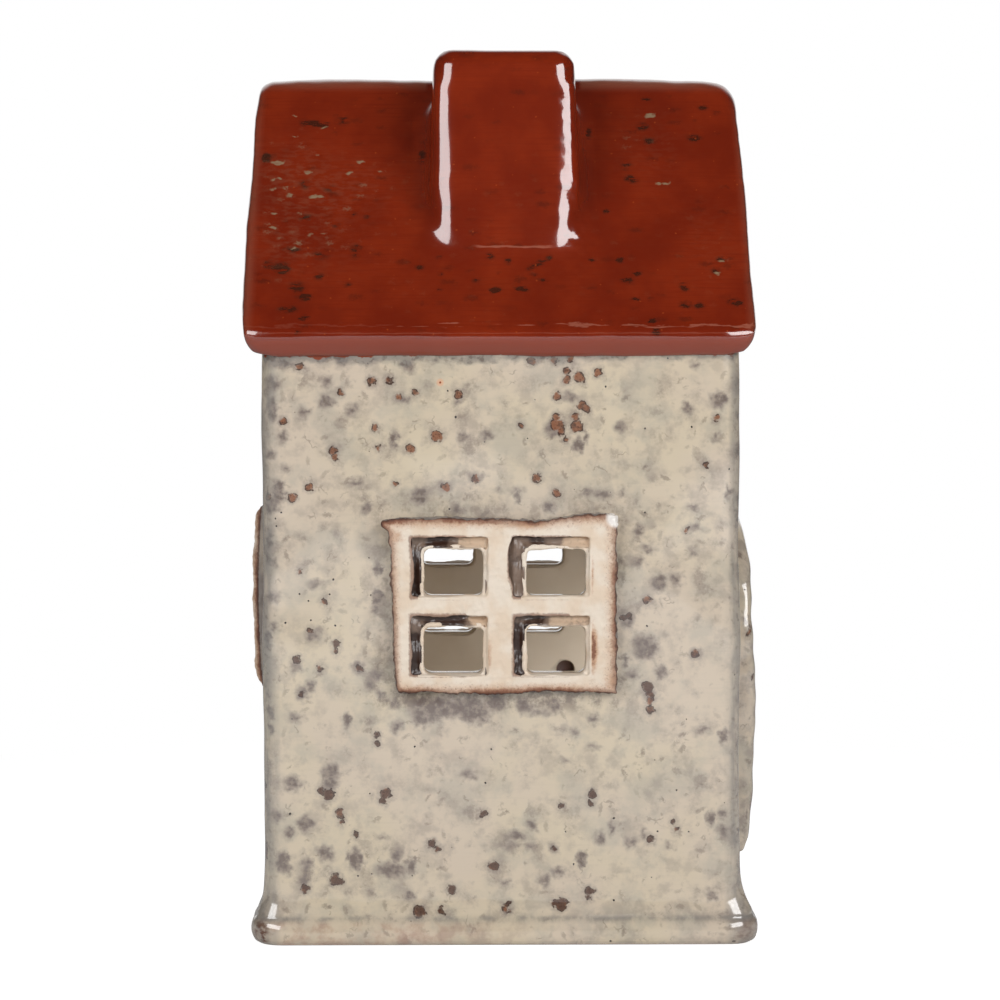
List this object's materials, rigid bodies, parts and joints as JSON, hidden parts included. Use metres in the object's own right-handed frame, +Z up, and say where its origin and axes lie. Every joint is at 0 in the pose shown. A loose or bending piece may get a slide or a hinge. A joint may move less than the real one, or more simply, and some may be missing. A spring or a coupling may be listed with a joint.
{
  "type": "tealight house",
  "caption": "Ceramic house for one tealight: red pitched roof with an open chimney, cream walls with raised window surrounds, and an arched doorway in one gable.",
  "frame": {"origin": "centre of the underside of the base, on the surface that the house stands on", "axes": "+Z up; X along the ridge, +X out of the doorway; -Y out of the long wall below the chimney"},
  "size_m": [0.11, 0.0908, 0.1912],
  "materials": {
    "cream_glaze": "glossy speckled cream glaze",
    "red_glaze": "glossy red-brown glaze with dark scuffs",
    "bare_clay": "matt white clay with browned edges",
    "cup_aluminium": "thin pressed sheet",
    "wax": "white paraffin wax",
    "wick_cotton": "waxed cotton braid",
    "tinned_steel": "tinned sheet"
  },
  "bodies": {
    "house": {"base": "cream_glaze", "wall_front": "cream_glaze", "wall_back": "cream_glaze", "gable_window_wall": "cream_glaze", "gable_doorway_wall": "cream_glaze", "roof_slab_front": "red_glaze", "roof_slab_back": "red_glaze", "chimney": "red_glaze", "window_surround_front": "bare_clay", "window_surround_back": "bare_clay", "window_surround_gable": "bare_clay", "doorway_surround": "cream_glaze"},
    "tealight": {"tealight_cup": "cup_aluminium", "tealight_wax": "wax", "tealight_wick": "wick_cotton", "wick_sustainer": "tinned_steel"}
  },
  "joints": [
    {"name": "tealight_slide", "type": "slide", "parent": "house", "child": "tealight", "axis": [0.9304, 0, 0.3665], "range_m": [0, 0.097]}
  ]
}
